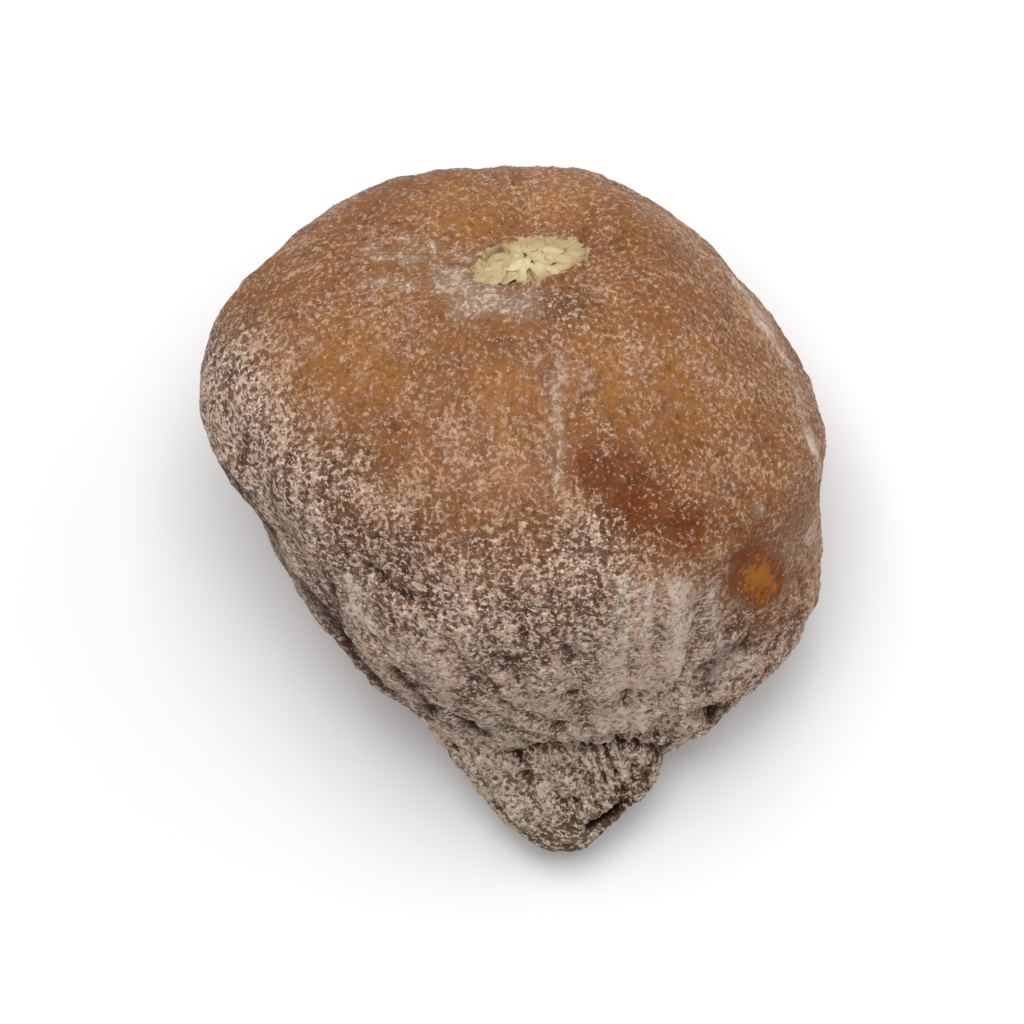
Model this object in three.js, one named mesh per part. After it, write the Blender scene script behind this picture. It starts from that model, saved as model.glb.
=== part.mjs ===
// A dried fig, lying on its side. Millimetres, +Z up.
// The origin is on the surface that the fruit rests on, under the middle of its outline from above.
// The fruit is one grown piece: its skin, eye, neck and stem end are one closed surface, drawn as
// rings round a bent centre line that runs from the stem end to the eye.

import * as THREE from "three";
import { ImprovedNoise } from "three/addons/math/ImprovedNoise.js";

// Driving dimensions
const stemEnd = new THREE.Vector3(4.7, -17.1, 3.4);
const middle = new THREE.Vector3(0.6, -2.0, 8.0);
const eyeEnd = new THREE.Vector3(-0.3, 12.1, 21.8);
const pointsPerRing = 92;
const restingDepth = 0.35; // what lies deeper than this below the surface is pressed flat
const stemSlant = { right: 0.55, up: 0.3 }; // how the cut of the stem leans, as slopes
const skinColour = 0xa9805f;

// The outline. At each share of the way from the stem end to the eye, this says how far the skin
// lies from the centre line on the right, left, top and under side, and how many rings lead on to
// the next line.
const outline = [
  { share: 0.03, right: 0.0, left: 0.0, top: 0.0, under: 0.0, rings: 2 },
  { share: 0.025, right: 0.9, left: 1.0, top: 0.8, under: 0.8, rings: 3 },
  { share: 0.0, right: 2.1, left: 2.4, top: 1.6, under: 1.9, rings: 2 },
  { share: 0.02, right: 2.8, left: 4.0, top: 2.1, under: 2.4, rings: 4 },
  { share: 0.08, right: 4.4, left: 6.6, top: 2.9, under: 3.2, rings: 4 },
  { share: 0.15, right: 6.1, left: 8.3, top: 3.7, under: 4.4, rings: 4 },
  { share: 0.21, right: 8.9, left: 8.8, top: 4.5, under: 5.6, rings: 3 },
  { share: 0.255, right: 10.8, left: 9.5, top: 6.2, under: 6.7, rings: 3 },
  { share: 0.31, right: 12.1, left: 11.2, top: 8.1, under: 8.2, rings: 4 },
  { share: 0.42, right: 12.7, left: 13.7, top: 11.0, under: 11.0, rings: 4 },
  { share: 0.54, right: 13.2, left: 15.3, top: 13.1, under: 13.6, rings: 4 },
  { share: 0.66, right: 14.2, left: 16.4, top: 13.5, under: 14.0, rings: 4 },
  { share: 0.78, right: 12.3, left: 18.3, top: 12.4, under: 13.6, rings: 3 },
  { share: 0.88, right: 9.6, left: 17.2, top: 9.8, under: 11.6, rings: 3 },
  { share: 0.96, right: 7.2, left: 12.7, top: 6.3, under: 8.7, rings: 3 },
  { share: 0.99, right: 5.7, left: 6.5, top: 3.9, under: 5.7, rings: 3 },
  { share: 0.985, right: 3.3, left: 3.5, top: 1.9, under: 2.3, rings: 5 },
  { share: 0.985, right: 1.5, left: 1.5, top: 0.9, under: 1.0, rings: 4 },
  { share: 0.99, right: 0.0, left: 0.0, top: 0.0, under: 0.0, rings: 0 },
];

// Relief, as heights outwards from the outline
const lumps = { height: 0.3, size: 8.5 };
const ribs = { height: 0.42, count: 23, wander: 1.8, wanderSize: 9, patchSize: 6 };
const smoothShoulder = { turn: 0.9, reach: 1.4, calm: 0.75 };
const crossWrinkles = { height: 0.22, size: 2.6 };
// The fold over the neck: where it starts, how far its lip hangs over, and the crease under it
const fold = { share: 0.22, lip: 1.0, lipWidth: 0.03, crease: 0.6, centre: 1.4, reach: 0.85 };
const eye = { outerScales: 7, innerScales: 4, height: 0.35, edge: 3.0 };

// Places where the fruit is fuller than its outline
const bulges = [
  { at: new THREE.Vector3(-8.5, 15.5, 12.0), size: 5.5, height: 0.7 },
  { at: new THREE.Vector3(9.5, -10.5, 8.0), size: 4.0, height: 0.6 },
];

// Furrows on the upper side, placed as seen from above; one with a negative depth is a raised line
const furrows = [
  { from: [-16.3, 2.9], to: [-10.5, -8.3], width: 0.6, depth: 0.6 },
  { from: [-9.1, -4.1], to: [-6.3, -5.4], width: 0.6, depth: 0.4 },
  { from: [0.8, 7.0], to: [0.8, -1.5], width: 0.6, depth: -0.2 },
];

const noise = new ImprovedNoise();
const centreLine = new THREE.QuadraticBezierCurve3(stemEnd, middle, eyeEnd);
const sideOutline = new THREE.CatmullRomCurve3(
  outline.map((line) => new THREE.Vector3(line.share, line.right, line.left)),
  false,
  "catmullrom",
  0.5,
);
const heightOutline = new THREE.CatmullRomCurve3(
  outline.map((line) => new THREE.Vector3(line.share, line.top, line.under)),
  false,
  "catmullrom",
  0.5,
);

// A soft step from 0 at low to 1 at high
function step(low, high, value) {
  return THREE.MathUtils.smoothstep(value, low, high);
}

// A bump of height 1 round a place, gone at about twice the width
function bump(distance, width) {
  return Math.exp(-((distance / width) ** 2));
}

// The smallest turn between two angles, from 0 to half a turn
function turnBetween(one, other) {
  return Math.abs(Math.atan2(Math.sin(one - other), Math.cos(one - other)));
}

// The centre line's own directions: along it, level to the right, and up
function directions(share) {
  const along = centreLine.getTangent(Math.min(Math.max(share, 0), 1));
  const right = new THREE.Vector3(along.y, -along.x, 0).normalize();
  const up = new THREE.Vector3().crossVectors(right, along);
  return { along, right, up };
}

// The smooth fruit before its skin shrank: a point by its place in the outline, from 0 at the stem
// end to 1 at the eye, and its turn round the centre line, from 0 on the right
function smoothPoint(place, turn) {
  const side = sideOutline.getPoint(place);
  const height = heightOutline.getPoint(place);
  const share = side.x;
  const { along, right, up } = directions(share);
  const halfWidth = Math.cos(turn) > 0 ? side.y : side.z;
  const halfHeight = Math.sin(turn) > 0 ? height.y : height.z;
  const across = Math.cos(turn);
  const upward = Math.sin(turn);
  const spread = Math.hypot(across * halfHeight, upward * halfWidth);
  const radius = spread > 0 ? (halfWidth * halfHeight) / spread : 0;
  const lean = stemSlant.right * across + stemSlant.up * upward;
  const slant = lean * radius * (1 - step(0.0, 0.16, share));
  const pastFold = share - fold.share - fold.lipWidth;
  const lip = fold.lip * bump(pastFold, fold.lipWidth) * foldStrength(turn);
  return centreLine
    .getPoint(share)
    .addScaledVector(right, radius * across)
    .addScaledVector(up, radius * upward)
    .addScaledVector(along, slant - lip);
}

// How strong the fold over the neck is at a turn: it hangs over the upper side only
function foldStrength(turn) {
  return bump(turnBetween(turn, fold.centre), fold.reach);
}

// Perlin noise at a place, for a given size of patch; each seed gives another pattern
function patches(spot, size, seed) {
  return noise.noise(spot.x / size, spot.y / size + seed, spot.z / size);
}

// Lengthwise ribs that wander: rounded crests with narrow valleys, strongest on the neck and the
// lower body and faint on the smooth upper right shoulder
function ribHeight(share, turn, spot) {
  const phase = (ribs.count * turn) / 2 + ribs.wander * patches(spot, ribs.wanderSize, 7);
  const shape = Math.abs(Math.sin(phase)) ** 1.2 - 0.6;
  const strength = 0.75 + 0.9 * patches(spot, ribs.patchSize, 31);
  const fromShoulder = turnBetween(turn, smoothShoulder.turn);
  const onShoulder = step(0.3, 0.6, share) * bump(fromShoulder, smoothShoulder.reach);
  const nearEnds = step(0.03, 0.1, share) * (1 - step(0.9, 0.97, share));
  const towardsEye = 1 - 0.55 * step(0.35, 0.75, share);
  const calm = 1 - smoothShoulder.calm * onShoulder;
  return ribs.height * shape * strength * nearEnds * towardsEye * calm;
}

// Short wrinkles in all directions
function wrinkleHeight(share, spot) {
  const nearEnds = step(0.02, 0.1, share) * (1 - step(0.93, 0.98, share));
  return crossWrinkles.height * patches(spot, crossWrinkles.size, 50) * nearEnds;
}

// Furrows by their distance from above, on the side that faces up
function furrowHeight(spot) {
  const fromAbove = new THREE.Vector3(spot.x, spot.y, 0);
  const nearest = new THREE.Vector3();
  let height = 0;
  for (const { from, to, width, depth } of furrows) {
    const line = new THREE.Line3(new THREE.Vector3(...from, 0), new THREE.Vector3(...to, 0));
    line.closestPointToPoint(fromAbove, true, nearest);
    height -= depth * bump(nearest.distanceTo(fromAbove), width);
  }
  return height * step(7, 10, spot.z);
}

// Places where the fruit is fuller
function bulgeHeight(spot) {
  let height = 0;
  for (const bulge of bulges) height += bulge.height * bump(bulge.at.distanceTo(spot), bulge.size);
  return height;
}

// The eye's dry scales: an outer and an inner whorl round a small hollow. The reach is how far out a
// place lies, from 0 in the middle of the eye to 1 at the edge of its scales.
function scaleHeight(place, turn) {
  if (place < 0.8) return 0;
  const reach = sideOutline.getPoint(place).y / eye.edge;
  const outer = Math.abs(Math.sin((eye.outerScales * turn) / 2 + 0.6)) ** 0.8;
  const inner = Math.abs(Math.sin((eye.innerScales * turn) / 2)) ** 0.8;
  const outerRing = (1 - step(0.95, 1.1, reach)) * step(0.35, 0.7, reach);
  const innerRing = (1 - step(0.5, 0.62, reach)) * step(0.02, 0.25, reach);
  return eye.height * Math.max(outerRing * (0.65 + 0.35 * outer), innerRing * (0.6 + 0.3 * inner));
}

// The narrow crease under the fold
function creaseDepth(share, turn) {
  return fold.crease * bump(share - fold.share, 0.012) * foldStrength(turn);
}

// Which way the smooth fruit faces at a place and turn
function outwardAt(place, turn) {
  const nudge = 1e-3;
  const before = smoothPoint(Math.max(place - nudge, 0), turn);
  const onward = smoothPoint(Math.min(place + nudge, 1), turn).sub(before);
  const around = smoothPoint(place, turn + nudge).sub(smoothPoint(place, turn - nudge));
  return new THREE.Vector3().crossVectors(onward, around).normalize();
}

// The skin: the smooth fruit, pushed in and out along its own outward direction. The wrinkles fade
// out on the underside, where the fruit rests.
function skinPoint(place, turn) {
  const spot = smoothPoint(place, turn);
  const share = sideOutline.getPoint(place).x;
  const lump = lumps.height * patches(spot, lumps.size, 0) * step(0.02, 0.15, share);
  const wrinkles = ribHeight(share, turn, spot) + wrinkleHeight(share, spot);
  const height =
    bulgeHeight(spot) +
    lump +
    wrinkles * step(0.3, 3.0, spot.z) +
    furrowHeight(spot) +
    scaleHeight(place, turn) -
    creaseDepth(share, turn);
  return spot.addScaledVector(outwardAt(place, turn), height);
}

// The underside is pressed flat where the fruit lies, with a soft edge
function pressed(point) {
  const depth = restingDepth;
  if (point.z < -depth) point.z = 0;
  else if (point.z < depth) point.z = (point.z + depth) ** 2 / (4 * depth);
  return point;
}

// The places of the rings, from 0 to 1 along the outline
function ringPlaces() {
  const places = [];
  const gaps = outline.length - 1;
  for (let gap = 0; gap < gaps; gap++) {
    for (let ring = 0; ring < outline[gap].rings; ring++) {
      places.push((gap + ring / outline[gap].rings) / gaps);
    }
  }
  return places.slice(1);
}

// One closed surface: a point at the stem end, the rings, and a point at the eye
function figGeometry() {
  const places = ringPlaces();
  const points = [pressed(skinPoint(0, 0))];
  for (const place of places) {
    for (let i = 0; i < pointsPerRing; i++) {
      points.push(pressed(skinPoint(place, (2 * Math.PI * i) / pointsPerRing)));
    }
  }
  points.push(pressed(skinPoint(1, 0)));

  const faces = [];
  const last = points.length - 1;
  const ringStart = (ring) => 1 + ring * pointsPerRing;
  for (let i = 0; i < pointsPerRing; i++) {
    const next = (i + 1) % pointsPerRing;
    faces.push(0, ringStart(0) + i, ringStart(0) + next);
    for (let ring = 0; ring + 1 < places.length; ring++) {
      const near = ringStart(ring);
      const far = ringStart(ring + 1);
      faces.push(near + i, far + i, far + next);
      faces.push(near + i, far + next, near + next);
    }
    const end = ringStart(places.length - 1);
    faces.push(last, end + next, end + i);
  }

  const geometry = new THREE.BufferGeometry();
  geometry.setAttribute(
    "position",
    new THREE.Float32BufferAttribute(points.flatMap((point) => point.toArray()), 3),
  );
  geometry.setIndex(faces);
  geometry.computeBoundingBox();
  const centre = geometry.boundingBox.getCenter(new THREE.Vector3());
  geometry.translate(-centre.x, -centre.y, -geometry.boundingBox.min.z);
  geometry.computeVertexNormals();
  return geometry;
}

const skin = new THREE.MeshStandardMaterial({ color: skinColour, roughness: 0.8, metalness: 0 });
const fig = new THREE.Mesh(figGeometry(), skin);
fig.name = "fig";

const part = new THREE.Group();
part.add(fig);

export default part;
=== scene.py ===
import math
from itertools import product

import bmesh
import bpy
import numpy as np
from mathutils import Matrix, Vector


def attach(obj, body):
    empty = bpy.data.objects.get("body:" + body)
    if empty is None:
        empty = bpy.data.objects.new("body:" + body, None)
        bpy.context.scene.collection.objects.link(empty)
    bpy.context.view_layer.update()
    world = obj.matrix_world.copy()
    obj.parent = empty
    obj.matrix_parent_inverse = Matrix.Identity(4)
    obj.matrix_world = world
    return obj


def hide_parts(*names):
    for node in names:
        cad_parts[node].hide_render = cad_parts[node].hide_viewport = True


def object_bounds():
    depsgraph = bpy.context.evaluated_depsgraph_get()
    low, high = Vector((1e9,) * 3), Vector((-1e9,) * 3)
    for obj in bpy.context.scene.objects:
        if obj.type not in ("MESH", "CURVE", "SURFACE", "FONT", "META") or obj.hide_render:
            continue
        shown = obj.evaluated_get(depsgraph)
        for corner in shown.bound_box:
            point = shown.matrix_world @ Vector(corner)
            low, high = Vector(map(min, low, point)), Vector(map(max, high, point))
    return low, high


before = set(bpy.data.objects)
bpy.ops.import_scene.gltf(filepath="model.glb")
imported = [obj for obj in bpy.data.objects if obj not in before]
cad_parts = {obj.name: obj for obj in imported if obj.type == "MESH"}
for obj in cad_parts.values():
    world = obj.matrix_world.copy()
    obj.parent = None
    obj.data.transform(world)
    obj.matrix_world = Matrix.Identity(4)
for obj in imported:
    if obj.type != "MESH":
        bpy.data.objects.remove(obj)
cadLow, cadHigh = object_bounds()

mm = 0.001  # the scene is in metres, and the sizes below are in millimetres


# Noise and soft masks for the shape of the skin, on rows of points in mm

noiseCells = 48  # a pattern repeats after this many patches


def softNoise(points, size, seed):  # about -1 to 1, in patches of the given size
    slopes = np.random.default_rng(seed).normal(size=(noiseCells, noiseCells, noiseCells, 3))
    slopes /= np.linalg.norm(slopes, axis=3, keepdims=True)
    place = points / size + 500.0
    cell = np.floor(place).astype(int)
    within = place - cell
    ease = within ** 3 * (within * (within * 6 - 15) + 10)
    total = np.zeros(len(points))
    for corner in product((0, 1), repeat=3):
        spot = (cell + corner) % noiseCells
        slope = slopes[spot[:, 0], spot[:, 1], spot[:, 2]]
        weight = np.prod(np.where(corner, ease, 1 - ease), axis=1)
        total += weight * np.sum(slope * (within - corner), axis=1)
    return total * 1.6


def crests(points, size, seed):  # 1 on a network of narrow lines, about 0 between them
    return np.clip(1 - 2.6 * np.abs(softNoise(points, size, seed)), -0.4, 1)


def rise(low, high, value):
    share = np.clip((value - low) / (high - low), 0, 1)
    return share * share * (3 - 2 * share)


def bump(distance, width):
    return np.exp(-((distance / width) ** 2))


def lineDistance(points, line):  # distance, seen from above, to a line of straight stretches
    nearest = np.full(len(points), np.inf)
    for start, end in zip(line, line[1:]):
        start, along = np.array(start), np.array(end) - np.array(start)
        share = np.clip((points[:, :2] - start) @ along / (along @ along), 0, 1)
        gap = np.linalg.norm(points[:, :2] - start - share[:, None] * along, axis=1)
        nearest = np.minimum(nearest, gap)
    return nearest


# The line that the fruit grew along, from its stem end to its eye

growth = {"stem": (6.19, -15.85, 3.4), "middle": (2.09, -0.75, 8.0), "eye": (1.19, 13.35, 21.8)}


def growthPlaces(points):
    stem, middle, eye = (np.array(growth[name]) for name in ("stem", "middle", "eye"))
    steps = np.linspace(0, 1, 241)[:, None]
    line = (1 - steps) ** 2 * stem + 2 * steps * (1 - steps) * middle + steps ** 2 * eye
    speed = 2 * (1 - steps) * (middle - stem) + 2 * steps * (eye - middle)
    nearest = np.empty(len(points), int)
    for first in range(0, len(points), 8000):
        some = points[first:first + 8000]
        gaps = np.linalg.norm(some[:, None, :] - line[None, :, :], axis=2)
        nearest[first:first + 8000] = gaps.argmin(axis=1)
    along = speed[nearest] / np.linalg.norm(speed[nearest], axis=1, keepdims=True)
    offset = points - line[nearest]
    share = steps[nearest, 0] + np.sum(offset * along, axis=1) / np.linalg.norm(speed[nearest], axis=1)
    right = np.stack([along[:, 1], -along[:, 0], 0 * along[:, 0]], axis=1)
    right /= np.linalg.norm(right, axis=1, keepdims=True)
    up = np.cross(right, along)
    turn = np.arctan2(np.sum(offset * up, axis=1), np.sum(offset * right, axis=1))
    radius = np.linalg.norm(offset, axis=1)
    return np.clip(share, -0.05, 1.05), turn, radius, along


# The skin: a finer copy of the solid, wrinkled along its own outward direction

skin = {
    "inset": 0.10,  # the smooth skin lies this far in, so that crests stay within the solid's box
    "ribs": {"height": 0.20, "size": 1.05, "stretch": 4.2},
    "puckers": {"height": 0.22, "size": 1.8},
    "creases": {"height": 0.15, "size": 1.0},
    "pebbles": {"height": 0.05, "size": 0.55},
    "calm": {"turn": 0.95, "reach": 1.5, "share": 0.6},
    "upperHalf": 0.5,  # how much of the wrinkles is left towards the eye
    "length": 36.0,  # along the growth line
    "across": 8.0,  # the usual radius, for patterns that run lengthwise
}

# Lines on the upper side as seen from above, each with its points, width and depth. A negative
# depth is a raised line.
leftGroove = [
    (-15.0, 1.9), (-13.3, -0.2), (-11.8, -2.9), (-10.6, -4.6), (-8.9, -6.6), (-7.3, -8.6), (-5.6, -10.4),
]
paleRidge = [(2.3, 7.9), (2.4, 4.4), (2.3, 0.7)]
furrows = [
    (leftGroove, 0.24, 0.30),
    ([(-9.5, -3.9), (-9.1, -5.4), (-8.6, -7.2)], 0.22, 0.25),
    ([(-7.5, -2.9), (-6.4, -4.0), (-4.6, -4.5)], 0.26, 0.30),
    ([(-6.1, -8.2), (-4.8, -9.7)], 0.24, 0.25),
    (paleRidge, 0.40, -0.10),
    ([(8.1, -2.8), (8.3, -5.4), (8.2, -8.0)], 0.45, -0.24),
    ([(9.6, -2.9), (9.6, -5.4), (9.4, -7.6)], 0.24, 0.12),
    ([(7.6, -3.4), (7.7, -5.9), (7.5, -8.4)], 0.22, 0.10),
    ([(9.9, -10.4), (11.0, -10.8), (12.2, -10.2)], 0.40, 0.45),
    ([(3.8, 14.8), (3.6, 13.7), (3.7, 12.8)], 0.28, 0.18),
    ([(-1.2, 12.1), (-0.6, 12.0), (0.2, 12.1)], 0.26, 0.28),
]
grooveShadeLines = [  # points, width and strength of the painted shade in a groove
    (leftGroove, 0.24, 0.85),
    ([(-9.5, -3.9), (-9.1, -5.4), (-8.6, -7.2)], 0.17, 0.8),
    ([(-7.5, -2.9), (-6.4, -4.0), (-4.6, -4.5)], 0.20, 0.6),
    ([(-6.1, -8.2), (-4.8, -9.7), (-4.2, -10.6)], 0.24, 0.85),
    ([(-2.6, -11.1), (-1.2, -11.5)], 0.26, 0.85),
    ([(9.9, -9.2), (10.8, -7.4), (12.4, -6.7)], 0.30, 0.6),
    ([(-1.1, 12.05), (-0.1, 12.05)], 0.26, 0.9),
    ([(-1.1, 13.4), (-0.5, 13.8)], 0.22, 0.7),
    ([(10.5, -10.8), (12.3, -10.5)], 0.45, 0.8),
]
amberSpot = {"x": 12.85, "y": -3.45, "radius": 1.15}
leftLip = {
    "line": [
        (-15.5, 1.4), (-13.8, -0.8), (-12.3, -3.4), (-11.1, -5.2), (-9.5, -7.2), (-7.8, -9.3), (-6.0, -11.2),
    ],
    "width": 0.4,
    "rise": 0.10,
}
swells = [(16.4, 0.3, 2.6, 0.36), (8.9, -13.9, 1.3, -0.75)]  # place, radius and rise
eyeBed = {"shift": -0.44, "turned": -0.2, "width": 2.9, "height": 1.6, "depth": 0.30, "rim": 0.12}

# Pale streaks of sugar on the upper side: points, width and strength
paleLines = [
    ([(8.5, -3.6), (8.7, -5.6), (8.5, -8.4)], 0.80, 1.0),
    ([(5.9, -3.8), (5.7, -6.4), (5.4, -9.2)], 0.65, 1.0),
    ([(7.1, -3.8), (7.1, -7.0)], 0.40, 0.95),
    ([(10.3, -4.2), (10.4, -6.6)], 0.40, 0.9),
    ([(-8.4, -3.9), (-7.2, -5.9)], 0.80, 1.0),
    ([(10.9, -6.9), (12.1, -7.8)], 0.90, 0.90),
    ([(5.6, -10.5), (7.4, -11.2)], 0.80, 0.85),
    ([(-6.2, -6.9), (-3.6, -8.6)], 0.70, 0.85),
    ([(-7.6, 13.6), (-5.0, 12.9), (-2.4, 12.5)], 0.60, 0.68),
    ([(-5.6, 14.3), (-3.2, 13.3), (-1.8, 13.0)], 0.45, 0.64),
    ([(-7.8, 11.8), (-5.4, 11.6), (-3.2, 11.6)], 0.50, 0.62),
    (paleRidge, 0.60, 0.53),
    ([(4.2, -17.4), (5.6, -16.8)], 0.40, 0.80),
]
stemCut = {"line": [(4.3, -17.0), (5.1, -16.5), (5.9, -15.9)], "width": 0.34, "depth": 0.75}
rightRidge = {
    "line": [(10.8, 13.3), (14.4, 7.9), (15.9, 2.3), (15.4, -1.6)],
    "width": 0.3,
    "height": 0.10,
}
crease = [(0.2, -12.9), (1.4, -12.4), (2.6, -12.3), (4.1, -12.5), (5.7, -12.3), (7.0, -12.5), (8.4, -13.0)]
creaseCut = {"width": 0.26, "depth": 0.55}
stemPitDepth = 1.1
pits = [((-4.3, -10.5), 0.40, 0.60), ((-2.1, -11.2), 0.34, 0.45)]

# Where the orange skin ends, from left to right, and where other shades lie: place and size
frontier = [(-17.0, 13.0), (-11.8, 5.9), (-8.0, 1.0), (-2.8, -1.6), (3.6, -2.1), (8.8, -2.9), (15.2, -5.5)]
shades = {
    "gold": [
        (-8.3, 8.0, 2.5), (0.0, 5.9, 2.1), (4.9, 6.9, 2.4), (9.5, 6.7, 2.3), (-2.3, 16.0, 2.4),
        (2.3, 16.6, 2.0), (0.3, 1.6, 1.0),
    ],
    "red": [(4.6, 2.3, 1.7), (6.5, 0.6, 2.1), (9.0, -0.8, 1.8), (12.2, -2.6, 1.5), (12.6, -5.4, 0.9)],
    "rust": [(12.7, -3.3, 2.4), (13.2, -6.0, 1.4), (12.5, -1.2, 1.6)],
    "pale": [(-1.5, 11.3, 2.3), (0.4, 11.0, 1.7), (-2.9, 12.0, 1.8), (12.9, 0.0, 0.6), (11.9, -4.9, 0.7)],
    "mauve": [(2.9, 10.9, 1.2), (4.1, -1.2, 1.6), (-14.6, 7.2, 1.9)],
    "chalky": [(-3.8, -8.2, 1.2), (8.0, -5.6, 3.2), (7.8, -8.2, 3.2), (13.6, 9.6, 1.4)],
}


def figSurface():  # the solid's own surface, with quads and two rounds of smooth subdivision
    work = bmesh.new()
    work.from_mesh(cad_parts["fig"].data)
    bmesh.ops.remove_doubles(work, verts=work.verts, dist=0.002 * mm)
    bmesh.ops.join_triangles(
        work,
        faces=work.faces,
        angle_face_threshold=math.radians(60),
        angle_shape_threshold=math.radians(80),
    )
    mesh = bpy.data.meshes.new("figSkin")
    work.to_mesh(mesh)
    work.free()
    piece = bpy.data.objects.new("figSkin", mesh)
    bpy.context.scene.collection.objects.link(piece)
    smooth = piece.modifiers.new("Fine", "SUBSURF")
    smooth.levels = smooth.render_levels = 2
    piece.data = bpy.data.meshes.new_from_object(
        piece.evaluated_get(bpy.context.evaluated_depsgraph_get())
    )
    piece.modifiers.remove(smooth)
    piece.data.name = "figSkin"
    return piece


def readPoints(mesh):
    points = np.empty(len(mesh.vertices) * 3)
    mesh.vertices.foreach_get("co", points)
    normals = np.empty(len(mesh.vertices) * 3)
    mesh.vertex_normals.foreach_get("vector", normals)
    return points.reshape(-1, 3) / mm, normals.reshape(-1, 3)


def storeValue(mesh, name, values):
    attribute = mesh.attributes.new(name, "FLOAT", "POINT")
    attribute.data.foreach_set("value", np.asarray(values, np.float32))


def spotOn(points, x, y, radius, seed=0, ragged=0.0):  # a soft round patch on the upper side
    column = np.hypot(points[:, 0] - x, points[:, 1] - y) < 0.3
    centre = np.array([x, y, points[column, 2].max()])
    distance = np.linalg.norm(points - centre, axis=1)
    if ragged:
        distance = distance + ragged * softNoise(points, radius * 0.6, seed)
    return bump(distance, radius)


def lengthwisePlaces(share, turn):  # places on the skin rolled out along the growth line
    return np.stack([
        skin["across"] * np.cos(turn),
        skin["across"] * np.sin(turn),
        share * skin["length"] / skin["ribs"]["stretch"],
    ], axis=1)


def wrinkleHeights(points, share, turn, bend, lengthwise):
    ribs, puckers, creases, pebbles = (skin[name] for name in ("ribs", "puckers", "creases", "pebbles"))
    calm = skin["calm"]
    turnGap = np.abs(np.arctan2(np.sin(turn - calm["turn"]), np.cos(turn - calm["turn"])))
    smoothSide = bump(turnGap, calm["reach"]) * rise(0.34, 0.72, share)
    rough = 1 - calm["share"] * smoothSide

    wander = 0.35 * softNoise(points, 4.0, 11)
    ribLines = crests(lengthwise + wander[:, None], ribs["size"], 3)
    towardsNeck = 0.35 + 0.65 * (1 - rise(0.3, 0.75, share))
    ribHeight = ribs["height"] * ribLines * towardsNeck
    puckerHeight = puckers["height"] * crests(points + bend, puckers["size"], 4)
    creaseHeight = creases["height"] * crests(points + 0.6 * bend, creases["size"], 5)
    pebbleHeight = pebbles["height"] * softNoise(points, pebbles["size"], 6)

    lower = 1 - rise(0.25, 0.7, share)
    strength = skin["upperHalf"] + (1 - skin["upperHalf"]) * lower
    patchy = (0.75 + 0.5 * softNoise(points, 6.0, 8)) * strength
    fine = (ribHeight + (puckerHeight + creaseHeight) * patchy) * rough + pebbleHeight
    nearEye = rise(0.93, 0.985, share)
    nearStem = 1 - rise(0.0, 0.06, share)
    fine *= (1 - 0.8 * nearEye) * (1 - 0.6 * nearStem)
    return fine


def drawnLines(points, outward, bend, onTop):  # heights of the single lines, and where three of them lie
    drawn = np.zeros(len(points))
    for line, width, depth in furrows:
        drawn -= depth * bump(lineDistance(points + 0.4 * bend, line), width)
    drawn -= creaseCut["depth"] * bump(lineDistance(points + 0.2 * bend, crease), creaseCut["width"])
    for (x, y), width, depth in pits:
        drawn -= depth * bump(np.hypot(points[:, 0] - x, points[:, 1] - y), width)
    stemGap = bump(lineDistance(points + 0.3 * bend, stemCut["line"]), stemCut["width"])
    drawn -= stemCut["depth"] * stemGap
    ridge = bump(lineDistance(points + 0.3 * bend, rightRidge["line"]), rightRidge["width"])
    drawn += rightRidge["height"] * ridge
    drawn *= onTop
    lip = bump(lineDistance(points + 0.2 * bend, leftLip["line"]), leftLip["width"])
    lip *= rise(-0.6, 0.0, outward[:, 2]) * rise(4.0, 7.0, points[:, 2])
    lip *= (1 - rise(-0.6, 2.4, points[:, 1])) * rise(-11.4, -9.4, points[:, 1])
    drawn += leftLip["rise"] * lip
    return drawn, stemGap, ridge, lip


def eyeDistance(points, turn, radius):  # 1 at the uneven edge of the eye's bed
    eyeTurn = turn - eyeBed["turned"]
    eyeMiddle = eyeBed["shift"] * np.array([math.cos(eyeBed["turned"]), -math.sin(eyeBed["turned"])])
    across = (radius * np.cos(eyeTurn) - eyeMiddle[0]) / eyeBed["width"]
    upwards = (radius * np.sin(eyeTurn) - eyeMiddle[1]) / eyeBed["height"]
    return np.hypot(across, upwards) + 0.15 * softNoise(points, 1.3, 9)


def shadeMasks(points, onTop):  # how much of each shade a place has
    masks = {}
    for number, (shade, spots) in enumerate(shades.items()):
        masks[shade] = np.zeros(len(points))
        for x, y, size in spots:
            masks[shade] = np.maximum(masks[shade], spotOn(points, x, y, size, 43 + number, 0.35 * size))
    fromAmber = np.hypot(points[:, 0] - amberSpot["x"], points[:, 1] - amberSpot["y"])
    fromAmber += 0.25 * softNoise(points, 0.7, 51)
    masks["amber"] = bump(fromAmber, amberSpot["radius"]) * onTop
    return masks


def paleSugar(points, bend, onTop, spots, ridge, lip):  # thick sugar in spots, in streaks and on ridges
    pale = 0.58 * np.minimum(1.2 * spots, 1)
    for line, width, strength in paleLines:
        gap = lineDistance(points + 0.8 * bend, line)
        streak = bump(gap * (1 + 0.5 * softNoise(points, 1.1, 52)), width) * onTop
        pale = np.maximum(pale, strength * streak * (0.8 + 0.5 * softNoise(points, 0.8, 53)))
    pale = np.maximum(pale, ridge * onTop * (0.66 + 0.5 * softNoise(points, 1.2, 54)))
    return np.maximum(pale, 0.72 * lip)


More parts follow.
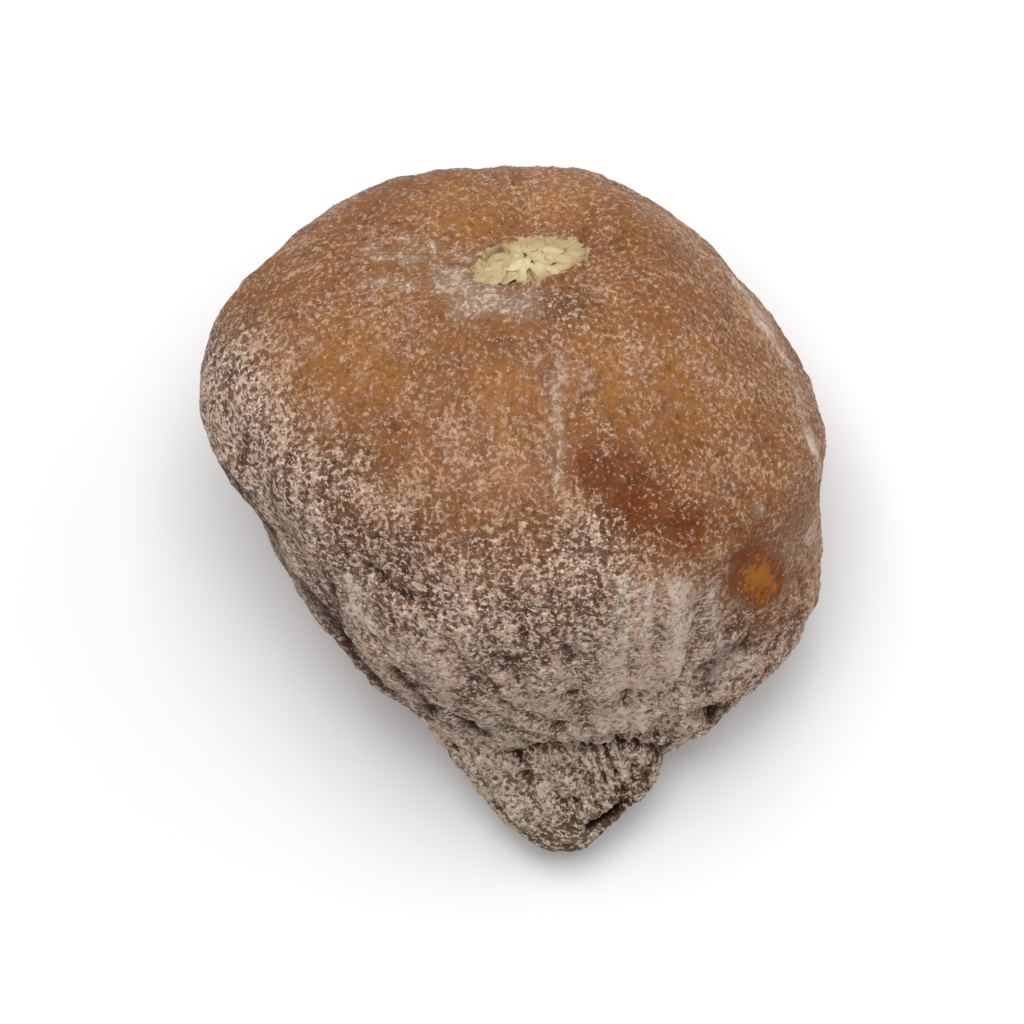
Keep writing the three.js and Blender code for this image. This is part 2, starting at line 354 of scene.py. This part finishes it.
def paintedShadeMarks(points, bend, onTop, hollow, stemGap):  # painted shade in the pits, the torn stem end's hollow and the grooves
    dark = np.zeros(len(points))
    for (x, y), width, depth in pits:
        dark = np.maximum(dark, bump(np.hypot(points[:, 0] - x, points[:, 1] - y), width) * onTop)
    dark = np.maximum(dark, rise(0.3, 0.9, hollow))
    dark = np.maximum(dark, rise(0.35, 0.8, stemGap * onTop))
    for line, width, strength in grooveShadeLines:
        dark = np.maximum(dark, strength * bump(lineDistance(points + 0.3 * bend, line), width) * onTop)
    return dark


def buildSkin():
    piece = figSurface()
    mesh = piece.data
    points, outward = readPoints(mesh)
    share, turn, radius, along = growthPlaces(points)
    onTop = rise(-0.15, 0.35, outward[:, 2])
    bend = np.stack([softNoise(points, 2.2, seed) for seed in (21, 22, 23)], axis=1) * 0.5
    lengthwise = lengthwisePlaces(share, turn)
    fine = wrinkleHeights(points, share, turn, bend, lengthwise)
    drawn, stemGap, ridge, lip = drawnLines(points, outward, bend, onTop)
    swollen = np.zeros(len(points))
    for x, y, width, lifted in swells:
        swollen += lifted * bump(np.hypot(points[:, 0] - x, points[:, 1] - y), width)
    swollen *= rise(1.5, 4.0, points[:, 2])
    rest = rise(0.15, 2.5, points[:, 2])  # the resting spot stays flat
    height = (fine - skin["inset"]) * rest + drawn + swollen

    # the pit of the stem end, and the eye's bed and rim
    hollow = (1 - rise(0.5, 1.35, radius)) * (1 - rise(0.03, 0.07, share))
    fromEye = eyeDistance(points, turn, radius)
    atEye = rise(0.93, 0.97, share)
    bed = (1 - rise(0.72, 1.0, fromEye)) * atEye
    rim = bump(fromEye - 1.14, 0.14) * atEye
    height += eyeBed["rim"] * rim - eyeBed["depth"] * bed
    moved = points + outward * height[:, None] + along * (stemPitDepth * hollow)[:, None]
    moved = np.clip(moved, np.array(cadLow) / mm, np.array(cadHigh) / mm)
    mesh.vertices.foreach_set("co", (moved * mm).ravel())
    mesh.update()
    for polygon in mesh.polygons:
        polygon.use_smooth = True

    # masks that the skin's colours follow, painted shade among them
    masks = shadeMasks(points, onTop)
    edgeNoise = 2.0 * softNoise(points, 5.0, 41) + 1.0 * softNoise(points, 2.0, 42)
    border = np.interp(points[:, 0], *zip(*frontier))
    warm = rise(-4.2, 3.0, points[:, 1] - border + edgeNoise)
    warm *= 0.45 + 0.55 * onTop
    warm *= 1 - 0.85 * masks["mauve"]
    frost = 0.43 + 0.04 * (1 - warm) + 0.2 * softNoise(points, 4.5, 50) + 0.42 * masks["chalky"]
    frost -= 0.10 * (1 - rise(0.1, 0.3, share))
    frost -= 0.26 * masks["red"] + 0.10 * masks["gold"] + 0.12 * masks["mauve"]
    frost = np.maximum(frost, 0.05)
    warm = np.maximum(warm, np.minimum(1.3 * masks["rust"], 1))
    pale = paleSugar(points, bend, onTop, masks["pale"], ridge, lip)
    frost = np.maximum(frost, pale) * (1 - 0.35 * masks["rust"]) * (1 - masks["amber"])
    relief = fine / 0.21 + drawn / 0.35  # about -1 in the grooves and 1 on the crests
    ridgeX, ridgeY = zip(*reversed(rightRidge["line"]))
    outer = rise(0.2, 0.9, points[:, 0] - np.interp(points[:, 1], ridgeY, ridgeX))
    values = {
        "warm": warm,
        "ashen": 1 - rise(-14.5, -7.0, points[:, 1] + edgeNoise),
        "gold": masks["gold"],
        "red": np.maximum(masks["red"], 0.4 * masks["rust"]),
        "amber": masks["amber"],
        "pale": pale,
        "straw": (1 - rise(0.75, 1.3, fromEye)) * atEye,
        # painted shade: a darker strip along the right side, outside the pale ridge
        "shade": outer * rise(-3.0, 2.0, points[:, 1]) * rise(-0.5, 0.2, outward[:, 2]),
        "frost": np.clip(frost, 0, 1),
        "relief": np.clip(relief, -1.5, 1.5),
        # painted shade in the pits, the stem end's hollow and the grooves
        "dark": paintedShadeMarks(points, bend, onTop, hollow, stemGap),
    }
    for name, value in values.items():
        storeValue(mesh, name, value)
    attribute = mesh.attributes.new("lengthwise", "FLOAT_VECTOR", "POINT")
    attribute.data.foreach_set("vector", (lengthwise * mm).astype(np.float32).ravel())
    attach(piece, "root")
    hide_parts("fig")
    print("skin", len(mesh.polygons), "faces, heights", height.min().round(2), height.max().round(2))
    return piece


# Materials are written as sums on sockets

class Wire:
    def __init__(self, bench, socket):
        self.bench = bench
        self.socket = socket

    def maths(self, operation, *values):
        return self.bench.make("ShaderNodeMath", {"operation": operation}, dict(enumerate(values)))

    def __add__(self, other):
        return self.maths("ADD", self, other)

    def __radd__(self, other):
        return self.maths("ADD", other, self)

    def __sub__(self, other):
        return self.maths("SUBTRACT", self, other)

    def __rsub__(self, other):
        return self.maths("SUBTRACT", other, self)

    def __mul__(self, other):
        return self.maths("MULTIPLY", self, other)

    def __rmul__(self, other):
        return self.maths("MULTIPLY", other, self)

    def __abs__(self):
        return self.maths("ABSOLUTE", self)

    def atLeast(self, other):
        return self.maths("MAXIMUM", self, other)

    def rise(self, low, high):  # a soft step from 0 at low to 1 at high
        return self.bench.make(
            "ShaderNodeMapRange",
            {"interpolation_type": "SMOOTHSTEP"},
            {"Value": self, "From Min": low, "From Max": high},
        )


class Bench:  # where one material's or one modifier's nodes are put together
    def __init__(self, tree):
        self.tree = tree
        tree.nodes.clear()

    def make(self, kind, settings=None, sockets=None, out=0):
        node = self.tree.nodes.new(kind)
        for name, value in (settings or {}).items():
            setattr(node, name, value)
        for name, value in (sockets or {}).items():
            if isinstance(value, Wire):
                self.tree.links.new(value.socket, node.inputs[name])
            else:
                node.inputs[name].default_value = value
        return Wire(self, node.outputs[out]) if node.outputs else node

    def mix(self, share, first, second, blend="MIX"):
        settings = {"data_type": "RGBA", "blend_type": blend, "clamp_factor": True}
        return self.make("ShaderNodeMix", settings, {0: share, 6: first, 7: second}, 2)

    def noise(self, where, size, detail=2.0, roughness=0.5, distortion=0.0):
        sockets = {
            "Vector": where,
            "Scale": 1 / (size * mm),
            "Detail": detail,
            "Roughness": roughness,
            "Distortion": distortion,
        }
        return self.make("ShaderNodeTexNoise", None, sockets)

    def stored(self, name, out=2):
        return self.make("ShaderNodeAttribute", {"attribute_name": name}, None, out)


def tone(red, green, blue):  # a screen colour, 0 to 255, as the linear colour that a socket takes
    linear = []
    for value in (red, green, blue):
        value /= 255
        linear.append(value / 12.92 if value <= 0.04045 else ((value + 0.055) / 1.055) ** 2.4)
    return (*linear, 1.0)


skinColours = {
    "orange": tone(132, 81, 38),
    "gold": tone(160, 106, 44),
    "mauve": tone(84, 54, 36),
    "red": tone(108, 52, 16),
    "amber": tone(170, 98, 4),
    "burnt": tone(122, 60, 8),
    # dark brown, for the skin's own dark grain and for painted shade in grooves, pits and specks
    "valley": tone(38, 22, 12),
    "bloom": tone(190, 151, 118),
    "rosyBloom": tone(182, 145, 125),
    "coolBloom": tone(208, 176, 155),
    "ashBloom": tone(208, 188, 165),
    "thickBloom": tone(216, 195, 177),
    "veiled": tone(124, 108, 92),
    # the sugar's own pale colour, brightened further as a painted glint
    "sugar": tone(228, 210, 192),
    # painted shade for the strip outside the right ridge
    "rimShade": tone(96, 72, 54),
    "straw": tone(190, 166, 122),
}
skinFinish = {"bareRoughness": 0.6, "bloomRoughness": 0.88, "bumpStrength": 0.7, "bumpDepth": 0.09}
grain = {  # sizes of the skin's patterns
    "streak": 0.26,
    "mottle": 1.3,
    "dark": 0.36,
    "worm": 0.75,
    "fleck": 0.27,
    "powder": 0.13,
    "patch": 2.6,
    "blush": 1.9,
    "shadow": 0.34,
    "glint": 0.26,
    "vein": 0.5,
}


def skinMaterial():
    material = bpy.data.materials.new("driedSkin")
    material.use_nodes = True
    bench = Bench(material.node_tree)
    where = bench.make("ShaderNodeTexCoord", None, None, 3)
    warm, gold, red = bench.stored("warm"), bench.stored("gold"), bench.stored("red")
    amber, frost, relief = bench.stored("amber"), bench.stored("frost"), bench.stored("relief")
    ashen, pale = bench.stored("ashen"), bench.stored("pale")
    stretched = bench.make(
        "ShaderNodeVectorMath",
        {"operation": "MULTIPLY"},
        {0: bench.stored("lengthwise", 1), 1: (1.0, 1.0, 0.5)},
    )
    streaks = bench.noise(stretched, grain["streak"], 3.0, 0.55, 0.2)

    # skin under the bloom, with painted shade in the grooves and on the right side
    colour = bench.mix(warm, skinColours["mauve"], skinColours["orange"])
    colour = bench.mix(gold * 0.65, colour, skinColours["gold"])
    colour = bench.mix(red, colour, skinColours["red"])
    mottle = bench.noise(where, grain["mottle"], 4.0, 0.65)
    colour = bench.mix(mottle.rise(0.45, 0.75) * 0.45, colour, skinColours["valley"])
    darkGrain = bench.noise(where, grain["dark"], 2.0, 0.6)
    colour = bench.mix(darkGrain.rise(0.5, 0.72) * 0.4, colour, skinColours["valley"])
    # painted shade: the grooves are darkened by how deep they lie in the relief
    valley = (-0.1 - relief).rise(0.0, 0.8)
    colour = bench.mix(valley * 0.85, colour, skinColours["valley"])
    # painted shade on the strip outside the right ridge
    colour = bench.mix(bench.stored("shade") * 0.7, colour, skinColours["rimShade"])
    colour = bench.mix(pale.rise(0.15, 0.7) * 0.75, colour, skinColours["veiled"])
    colour = bench.mix(amber.rise(0.04, 0.3) * 0.8, colour, skinColours["burnt"])
    amberCore = (amber - (darkGrain - 0.5) * 2.0 + (mottle - 0.5) * 0.8).rise(0.4, 0.85)
    colour = bench.mix(amberCore, colour, skinColours["amber"])

    # sugar bloom: a thin haze, and denser flecks and worm-like lines that sit on the crests
    wormNoise = bench.noise(where, grain["worm"], 2.0, 0.5, 0.5)
    worms = (1 - abs(wormNoise - 0.5) * 7.0).atLeast(0.0)
    flecks = bench.noise(where, grain["fleck"], 2.0, 0.5)
    powder = bench.noise(where, grain["powder"], 2.0, 0.6)
    patches = bench.noise(where, grain["patch"], 2.0, 0.5)
    streaky = 2.0 - warm * 1.1 - ashen * 1.1
    cover = frost * 1.1 + relief * 0.42 + (patches - 0.5) * 0.7 + (streaks - 0.5) * streaky
    grainy = (flecks - 0.5) * 2.4 + (powder - 0.5) * 1.5
    haze = (cover + grainy * 0.45).rise(-0.1, 1.6)
    dense = (cover + worms * (0.56 - warm * 0.2) + grainy * (1.8 - warm * 0.4)).rise(0.62, 1.42)
    bare = 1 - (amber + (flecks - 0.5) * 0.5).rise(0.05, 0.35) * 0.95
    blush = bench.noise(where, grain["blush"], 3.0, 0.6)
    bloomColour = bench.mix(blush.rise(0.4, 0.62), skinColours["bloom"], skinColours["rosyBloom"])
    bloomColour = bench.mix(warm, skinColours["coolBloom"], bloomColour)
    bloomColour = bench.mix(ashen, bloomColour, skinColours["ashBloom"])
    bloomColour = bench.mix(pale.rise(0.3, 0.85), bloomColour, skinColours["thickBloom"])
    veil = (0.5 - warm * 0.05) * (1 - red * 0.5) + pale * 0.25
    colour = bench.mix(haze * bare * veil, colour, bloomColour)
    colour = bench.mix(dense * bare * (0.88 - warm * 0.13), colour, bloomColour)
    shadow = (1 - bench.noise(where, grain["shadow"], 3.0, 0.6)).rise(0.48, 0.68)
    colour = bench.mix(shadow * bare * (0.64 - warm * 0.44), colour, skinColours["valley"])
    # painted glints: the brightest sugar specks, lighter than the sugar's own colour
    glints = bench.noise(where, grain["glint"], 2.0, 0.5).rise(0.53, 0.66)
    colour = bench.mix(glints * dense * bare * (0.85 - warm * 0.6), colour, skinColours["sugar"])
    strawEdge = (bench.stored("straw") + (flecks - 0.5) * 1.6 + (streaks - 0.5) * 0.6).rise(0.3, 0.8)
    colour = bench.mix(strawEdge * 0.9, colour, skinColours["straw"])
    # painted shade in the pits, the stem end's hollow and the grooves
    colour = bench.mix(bench.stored("dark"), colour, skinColours["valley"])

    veins = 1 - abs(bench.noise(where, grain["vein"], 2.0, 0.5, 0.3) - 0.5) * 5.0
    height = dense * 0.35 + flecks * 0.8 + powder * 0.4 + veins * 0.35 + streaks * 0.8
    bumpNormal = bench.make("ShaderNodeBump", None, {
        "Strength": skinFinish["bumpStrength"],
        "Distance": skinFinish["bumpDepth"] * mm,
        "Height": height,
    })
    rougher = skinFinish["bloomRoughness"] - skinFinish["bareRoughness"]
    roughness = skinFinish["bareRoughness"] + (haze * 0.4 + dense * 0.6) * bare * rougher
    shader = bench.make(
        "ShaderNodeBsdfPrincipled",
        None,
        {
            "Base Color": colour,
            "Roughness": roughness,
            "Normal": bumpNormal,
            "Subsurface Weight": 0.08,
            "Subsurface Radius": (1.0, 0.45, 0.2),
            "Subsurface Scale": 0.8 * mm,
            "Specular IOR Level": 0.13,
        },
    )
    bench.make("ShaderNodeOutputMaterial", None, {"Surface": shader})
    return material


# Geometry Nodes make the pieces that repeat

def newTree(name, inputs):
    tree = bpy.data.node_groups.new(name, "GeometryNodeTree")
    tree.interface.new_socket("Geometry", in_out="INPUT", socket_type="NodeSocketGeometry")
    for label, kind in inputs.items():
        tree.interface.new_socket(label, in_out="INPUT", socket_type="NodeSocket" + kind)
    tree.interface.new_socket("Geometry", in_out="OUTPUT", socket_type="NodeSocketGeometry")
    return tree, Bench(tree)


def runTree(piece, tree, values):  # sets the tree's inputs, and keeps the result as a plain mesh
    modifier = piece.modifiers.new(tree.name, "NODES")
    modifier.node_group = tree
    for item in tree.interface.items_tree:
        if item.in_out == "INPUT" and item.name in values:
            modifier[item.identifier] = values[item.name]
    shown = piece.evaluated_get(bpy.context.evaluated_depsgraph_get())
    mesh = bpy.data.meshes.new_from_object(shown)
    piece.modifiers.remove(modifier)
    return mesh


def newPiece(name, mesh):
    piece = bpy.data.objects.new(name, mesh)
    bpy.context.scene.collection.objects.link(piece)
    return piece


# The eye: small dry scales in whorls, their tips towards the middle

eye = {
    "whorls": [  # how many scales, half the whorl's width and height, scale size, lean and lift
        {"Count": 18, "Width": 2.35, "Height": 1.15, "Size": 0.95, "Lean": 0.14, "Lift": -0.12, "Seed": 3},
        {"Count": 14, "Width": 1.6, "Height": 0.70, "Size": 0.85, "Lean": 0.18, "Lift": -0.02, "Seed": 8},
        {"Count": 9, "Width": 0.85, "Height": 0.32, "Size": 0.70, "Lean": 0.22, "Lift": 0.07, "Seed": 5},
    ],
    "scaleLength": 1.55,
    "scaleWidth": 0.85,
    "scaleThickness": 0.15,
    "loose": (0.24, 0.16, 0.06),  # how far a scale may lie from its place
    "crumpled": 0.16,  # how far the scales are bent out of shape
    "depth": 0.50,  # how far the scales lie below the end of the growth line
}


scaleColours = {
    "straw": tone(186, 160, 114),
    "pale": tone(212, 194, 152),
    # brown for the scales' streaks and tips, and for painted shade deep in the eye
    "brown": tone(130, 92, 54),
}


def scaleMesh():  # one scale, its base towards +Y and its tip towards -Y
    work = bmesh.new()
    bmesh.ops.create_uvsphere(work, u_segments=14, v_segments=8, radius=0.5)
    for vertex in work.verts:
        x, y, z = vertex.co
        tip = 0.5 - y
        narrow = 1 - 0.45 * tip ** 2
        cup = 0.28 * x * x + 0.10 * tip ** 2
        vertex.co = (
            x * eye["scaleWidth"] * narrow * mm,
            y * eye["scaleLength"] * mm,
            (z * eye["scaleThickness"] - cup * 0.6) * mm,
        )
    mesh = bpy.data.meshes.new("scale")
    work.to_mesh(mesh)
    work.free()
    heights = np.array([vertex.co.y for vertex in mesh.vertices]) / (eye["scaleLength"] * mm)
    storeValue(mesh, "tip", 0.5 - heights)
    for polygon in mesh.polygons:
        polygon.use_smooth = True
    return mesh


def whorlTree():
    tree, bench = newTree("scaleWhorl", {
        "Count": "Int", "Width": "Float", "Height": "Float", "Size": "Float", "Lean": "Float",
        "Lift": "Float", "Seed": "Int", "Material": "Material",
    })

    def given(name):
        return bench.make("NodeGroupInput", None, None, name)

    ring = bench.make("GeometryNodeMeshCircle", None, {"Vertices": given("Count"), "Radius": 1.0})
    place = bench.make("GeometryNodeInputPosition")
    size = bench.make("ShaderNodeCombineXYZ", None, {0: given("Width"), 1: given("Height"), 2: 0.0})
    oval = bench.make("ShaderNodeVectorMath", {"operation": "MULTIPLY"}, {0: place, 1: size})
    lift = bench.make("ShaderNodeCombineXYZ", None, {0: 0.0, 1: 0.0, 2: given("Lift")})
    oval = bench.make("ShaderNodeVectorMath", {"operation": "ADD"}, {0: oval, 1: lift})
    reach = Vector(eye["loose"]) * mm
    loose = bench.make(
        "FunctionNodeRandomValue",
        {"data_type": "FLOAT_VECTOR"},
        {0: -reach, 1: reach, "Seed": given("Seed")},
    )
    ring = bench.make(
        "GeometryNodeSetPosition", None, {"Geometry": ring, "Position": oval, "Offset": loose}
    )
    facing = bench.make(
        "FunctionNodeAlignRotationToVector", {"axis": "Y", "pivot_axis": "Z"}, {"Vector": place}
    )
    wobble = bench.make(
        "FunctionNodeRandomValue",
        {"data_type": "FLOAT_VECTOR"},
        {0: (-0.15, -0.12, -0.25), 1: (0.2, 0.12, 0.25), "Seed": given("Seed")},
    )
    lean = bench.make("ShaderNodeCombineXYZ", None, {0: given("Lean") * -1.0, 1: 0.0, 2: 0.0})
    lean = bench.make("ShaderNodeVectorMath", {"operation": "ADD"}, {0: lean, 1: wobble})
    turned = bench.make(
        "FunctionNodeRotateRotation",
        {"rotation_space": "LOCAL"},
        {
            "Rotation": facing,
            "Rotate By": bench.make("FunctionNodeEulerToRotation", None, {0: lean}),
        },
    )
    growthSize = bench.make(
        "FunctionNodeRandomValue", {"data_type": "FLOAT"}, {2: 0.72, 3: 1.2, "Seed": given("Seed")}, 1
    )
    placed = bench.make(
        "GeometryNodeInstanceOnPoints",
        None,
        {
            "Points": ring,
            "Instance": given("Geometry"),
            "Rotation": turned,
            "Scale": growthSize * given("Size"),
        },
    )
    real = bench.make("GeometryNodeRealizeInstances", None, {0: placed})
    done = bench.make(
        "GeometryNodeSetMaterial", None, {"Geometry": real, "Material": given("Material")}
    )
    bench.make("NodeGroupOutput", None, {0: done})
    return tree


def lineFrame(name, before, depth):  # axes at an end of the growth line: right, up and outwards
    end = Vector(growth[name])
    outwards = (end - Vector(growth[before])).normalized()
    right = Vector((outwards.y, -outwards.x, 0)).normalized()
    up = right.cross(outwards)
    axes = Matrix((right, up, outwards)).transposed().to_4x4()
    axes.translation = (end - outwards * depth) * mm
    return axes


def buildEye():
    material = scaleMaterial()
    tree = whorlTree()
    single = newPiece("oneScale", scaleMesh())
    work = bmesh.new()
    for whorl in eye["whorls"]:
        values = dict(whorl, Material=material)
        for name in ("Width", "Height", "Lift"):
            values[name] = whorl[name] * mm
        mesh = runTree(single, tree, values)
        work.from_mesh(mesh)
    mesh = bpy.data.meshes.new("eyeScales")
    work.to_mesh(mesh)
    work.free()
    points = readPoints(mesh)[0]
    # how low each scale lies, for the painted shade in the eye's hollow
    storeValue(mesh, "deepShade", 1 - rise(-0.30, 0.12, points[:, 2]))
    place = lineFrame("eye", "middle", eye["depth"]) @ Matrix.Translation((eyeBed["shift"] * mm, 0, 0))
    mesh.transform(place @ Matrix.Rotation(eyeBed["turned"], 4, "Z"))
    points = readPoints(mesh)[0]
    crumple = np.stack([softNoise(points, 0.6, seed) for seed in (61, 62, 63)], axis=1)
    points += eye["crumpled"] * crumple
    mesh.vertices.foreach_set("co", (points * mm).ravel())
    mesh.materials.append(material)
    bpy.data.objects.remove(single)
    piece = newPiece("eyeScales", mesh)
    for polygon in mesh.polygons:
        polygon.use_smooth = True
    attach(piece, "root")
    print("eye", len(mesh.polygons), "faces")


def scaleMaterial():
    material = bpy.data.materials.new("dryScale")
    material.use_nodes = True
    bench = Bench(material.node_tree)
    where = bench.make("ShaderNodeTexCoord", None, None, 3)
    tip = bench.stored("tip")
    streaks = bench.noise(where, 0.22, 3.0, 0.6)
    blotch = bench.noise(where, 0.8, 3.0, 0.6)
    colour = bench.mix(blotch.rise(0.35, 0.7), scaleColours["straw"], scaleColours["pale"])
    brownStreaks = (streaks - 0.25 + (1 - tip) * 0.25).rise(0.45, 0.8)
    colour = bench.mix(brownStreaks * 0.6, colour, scaleColours["brown"])
    colour = bench.mix(tip.rise(0.86, 1.0) * 0.55, colour, scaleColours["brown"])
    # painted shade: scales lying deeper in the eye's hollow are darker
    colour = bench.mix(bench.stored("deepShade") * 0.55, colour, scaleColours["brown"])
    bumpNormal = bench.make(
        "ShaderNodeBump", None, {"Strength": 0.6, "Distance": 0.05 * mm, "Height": streaks + blotch * 0.6}
    )
    shader = bench.make(
        "ShaderNodeBsdfPrincipled",
        None,
        {
            "Base Color": colour,
            "Roughness": 0.7,
            "Normal": bumpNormal,
            "Subsurface Weight": 0.12,
            "Subsurface Radius": (1.0, 0.7, 0.4),
            "Subsurface Scale": 0.4 * mm,
        },
    )
    bench.make("ShaderNodeOutputMaterial", None, {"Surface": shader})
    return material


# Loose sugar grains on the bloom

sugar = {"perSquareMm": 6.5, "smallest": 0.03, "largest": 0.075, "seed": 12, "clearOfFloor": 0.5}
sugarColours = {"grain": tone(190, 168, 142), "tanGrain": tone(170, 136, 106)}


def sugarTree():
    tree, bench = newTree("sugarGrains", {
        "Density": "Float", "Smallest": "Float", "Largest": "Float", "Floor": "Float", "Seed": "Int",
        "Material": "Material",
    })

    def given(name):
        return bench.make("NodeGroupInput", None, None, name)

    frost = bench.make(
        "GeometryNodeInputNamedAttribute", {"data_type": "FLOAT"}, {"Name": "frost"}
    )
    crest = bench.make(
        "GeometryNodeInputNamedAttribute", {"data_type": "FLOAT"}, {"Name": "relief"}
    )
    place = bench.make("GeometryNodeInputPosition")
    height = bench.make("ShaderNodeSeparateXYZ", None, {0: place}, 2)
    aboveFloor = bench.make("ShaderNodeMath", {"operation": "GREATER_THAN"}, {0: height, 1: given("Floor")})
    density = given("Density") * frost * crest.rise(-0.6, 0.6) * aboveFloor
    points = bench.make(
        "GeometryNodeDistributePointsOnFaces",
        {"distribute_method": "RANDOM"},
        {"Mesh": given("Geometry"), "Density": density, "Seed": given("Seed")},
    )
    grain = bench.make("GeometryNodeMeshIcoSphere", None, {"Radius": 1.0, "Subdivisions": 1})
    size = bench.make(
        "FunctionNodeRandomValue",
        {"data_type": "FLOAT"},
        {2: given("Smallest"), 3: given("Largest"), "Seed": given("Seed")},
        1,
    )
    uneven = bench.make(
        "FunctionNodeRandomValue",
        {"data_type": "FLOAT_VECTOR"},
        {0: (0.6, 0.6, 0.45), 1: (1.2, 1.0, 0.9), "Seed": given("Seed")},
    )
    grainSize = bench.make("ShaderNodeVectorMath", {"operation": "SCALE"}, {0: uneven, "Scale": size})
    spin = bench.make(
        "FunctionNodeRandomValue",
        {"data_type": "FLOAT_VECTOR"},
        {0: (0.0, 0.0, 0.0), 1: (math.tau, math.tau, math.tau), "Seed": given("Seed")},
    )
    placed = bench.make(
        "GeometryNodeInstanceOnPoints",
        None,
        {
            "Points": points,
            "Instance": grain,
            "Rotation": bench.make("FunctionNodeEulerToRotation", None, {0: spin}),
            "Scale": grainSize,
        },
    )
    real = bench.make("GeometryNodeRealizeInstances", None, {0: placed})
    done = bench.make(
        "GeometryNodeSetMaterial", None, {"Geometry": real, "Material": given("Material")}
    )
    bench.make("NodeGroupOutput", None, {0: done})
    return tree


def buildSugar(skinPiece):
    material = bpy.data.materials.new("sugarGrain")
    material.use_nodes = True
    bench = Bench(material.node_tree)
    where = bench.make("ShaderNodeTexCoord", None, None, 3)
    tint = bench.noise(where, 0.7, 2.0, 0.5)
    colour = bench.mix(tint.rise(0.35, 0.65), sugarColours["grain"], sugarColours["tanGrain"])
    shader = bench.make(
        "ShaderNodeBsdfPrincipled", None, {"Base Color": colour, "Roughness": 0.7}
    )
    bench.make("ShaderNodeOutputMaterial", None, {"Surface": shader})
    values = {
        "Density": sugar["perSquareMm"] / mm ** 2,
        "Smallest": sugar["smallest"] * mm,
        "Largest": sugar["largest"] * mm,
        "Floor": sugar["clearOfFloor"] * mm,
        "Seed": sugar["seed"],
        "Material": material,
    }
    mesh = runTree(skinPiece, sugarTree(), values)
    mesh.name = "sugarGrains"
    piece = newPiece("sugarGrains", mesh)
    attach(piece, "root")
    print("sugar", len(mesh.polygons), "faces")


# Floor, light and camera

studio = {
    "floorSize": 3.0,
    "floorColour": (0.93, 0.93, 0.93, 1.0),
    "world": (0.95, 0.97, 1.0, 1.0),
    "worldStrength": 0.42,
    "frameWidth": 54.0,  # what the picture takes in at the height of the fruit's widest outline
    "cameraDistance": 600.0,
    "focusHeight": 10.0,
}


lamps = {
    "overhead": {"place": (-20, 165, 500), "width": 280, "power": 2.14},
    "fill": {"place": (260, 160, 300), "width": 300, "power": 0.22},
}


def buildStudio():
    size = studio["floorSize"] / 2
    mesh = bpy.data.meshes.new("floor")
    corners = [(-size, -size, 0), (size, -size, 0), (size, size, 0), (-size, size, 0)]
    mesh.from_pydata(corners, [], [(0, 1, 2, 3)])
    floor = bpy.data.objects.new("floor", mesh)
    bpy.context.scene.collection.objects.link(floor)
    material = bpy.data.materials.new("floorPaper")
    material.use_nodes = True
    bench = Bench(material.node_tree)
    shader = bench.make(
        "ShaderNodeBsdfPrincipled",
        None,
        {"Base Color": studio["floorColour"], "Roughness": 0.9, "Specular IOR Level": 0.1},
    )
    bench.make("ShaderNodeOutputMaterial", None, {"Surface": shader})
    mesh.materials.append(material)

    world = bpy.data.worlds.new("studioAir")
    bpy.context.scene.world = world
    world.use_nodes = True
    air = Bench(world.node_tree)
    background = air.make(
        "ShaderNodeBackground", None, {"Color": studio["world"], "Strength": studio["worldStrength"]}
    )
    air.make("ShaderNodeOutputWorld", None, {"Surface": background})

    for name, lamp in lamps.items():
        addLamp(name, lamp["place"], lamp["width"], lamp["power"])

    lens = bpy.data.cameras.new("topView")
    lens.sensor_width = 36.0
    lens.lens = 36.0 * studio["cameraDistance"] / studio["frameWidth"]
    lens.clip_start = 0.01
    lens.clip_end = 10.0
    camera = bpy.data.objects.new("topView", lens)
    camera.location = (0, 0, (studio["cameraDistance"] + studio["focusHeight"]) * mm)
    bpy.context.scene.collection.objects.link(camera)
    bpy.context.scene.camera = camera
    bpy.context.scene.view_settings.view_transform = "Standard"
    print("studio")


def addLamp(name, place, width, power):  # a square soft light that faces the fruit
    lamp = bpy.data.lights.new(name, "AREA")
    lamp.shape = "SQUARE"
    lamp.size = width * mm
    lamp.energy = power
    holder = bpy.data.objects.new(name, lamp)
    holder.location = Vector(place) * mm
    holder.rotation_euler = (Vector((0, 0, 10 * mm)) - holder.location).to_track_quat("-Z", "Y").to_euler()
    bpy.context.scene.collection.objects.link(holder)


figSkin = buildSkin()
figSkin.data.materials.clear()
figSkin.data.materials.append(skinMaterial())
buildEye()
buildSugar(figSkin)
buildStudio()
